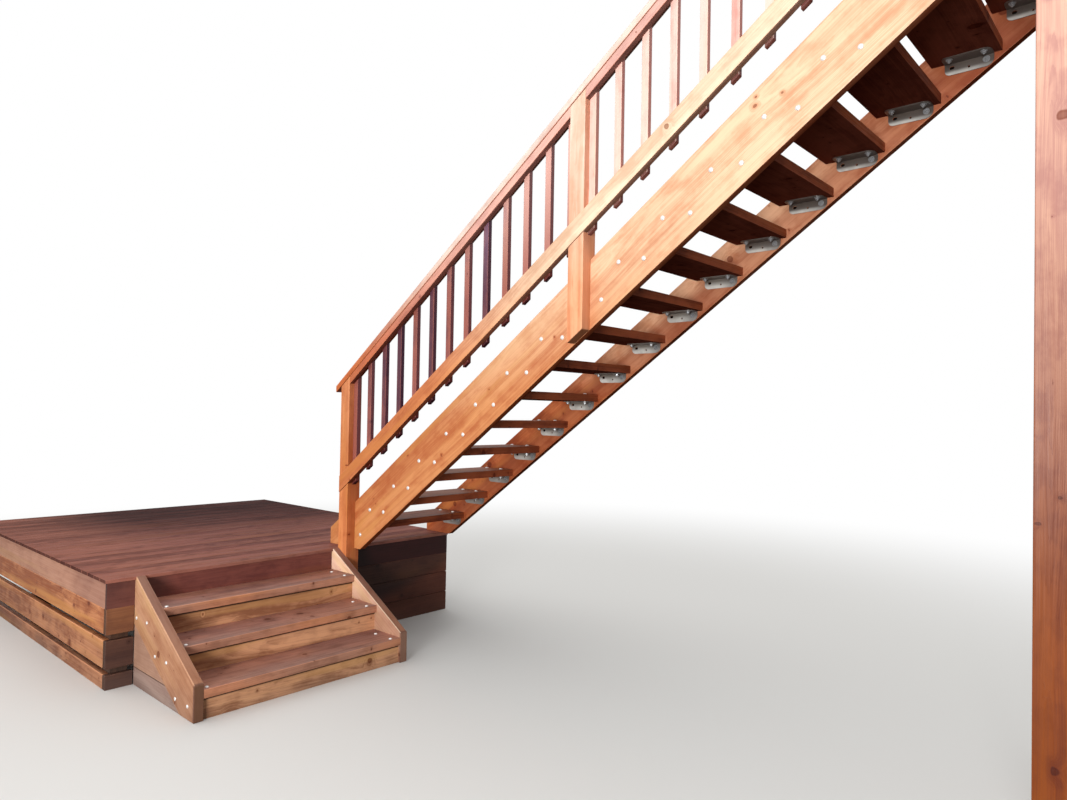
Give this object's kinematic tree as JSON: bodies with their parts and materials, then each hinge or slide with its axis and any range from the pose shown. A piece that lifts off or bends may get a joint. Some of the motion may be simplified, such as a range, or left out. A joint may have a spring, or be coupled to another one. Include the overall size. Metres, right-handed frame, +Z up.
{
  "type": "timber deck stair",
  "caption": "Timber deck stair: box steps to a low deck, then an open flight with bracketed treads, posts and a slatted balustrade.",
  "frame": {"origin": "middle of the newel post's foot, on the ground", "axes": "+X across the flight towards the wall side, +Y from the flight back over the deck, +Z up"},
  "size_m": [2.419, 6.8975, 4.6337],
  "materials": {
    "stained_pine": "orange-brown penetrating stain, satin",
    "dark_pine": "brown penetrating stain, satin, worn",
    "red_balusters": "red-brown oiled hardwood, satin",
    "red_hardwood": "dark red-brown oiled hardwood, satin, weathered",
    "plain_pine": "rough-sawn treated pine",
    "galvanised": "hot-dip galvanised"
  },
  "bodies": {
    "root": {"outer_stringer": "stained_pine", "wall_stringer": "stained_pine", "tread_01": "dark_pine", "tread_02": "dark_pine", "tread_03": "dark_pine", "tread_04": "dark_pine", "tread_05": "dark_pine", "tread_06": "dark_pine", "tread_07": "dark_pine", "tread_08": "dark_pine", "tread_09": "dark_pine", "tread_10": "dark_pine", "tread_11": "dark_pine", "tread_12": "dark_pine", "tread_13": "dark_pine", "tread_14": "dark_pine", "tread_15": "dark_pine", "tread_16": "dark_pine", "brackets_outer": "galvanised", "brackets_wall": "galvanised", "newel_post": "stained_pine", "mid_post": "stained_pine", "top_post": "stained_pine", "wall_post": "stained_pine", "head_trimmer": "stained_pine", "handrail_cap": "stained_pine", "sub_rails": "stained_pine", "bottom_rail": "stained_pine", "left_cheek": "stained_pine", "right_cheek": "stained_pine", "cheek_infill": "stained_pine", "step_risers": "stained_pine", "balusters_lower": "red_balusters", "balusters_upper": "red_balusters", "step_tread_1": "dark_pine", "step_tread_2": "dark_pine", "step_tread_3": "dark_pine", "deck_boards": "red_hardwood", "front_fascia": "red_hardwood", "side_fascia": "red_hardwood", "front_skirting": "stained_pine", "side_skirting": "stained_pine", "deck_joists": "plain_pine", "deck_bearers": "plain_pine", "deck_stumps": "plain_pine"}
  },
  "joints": []
}
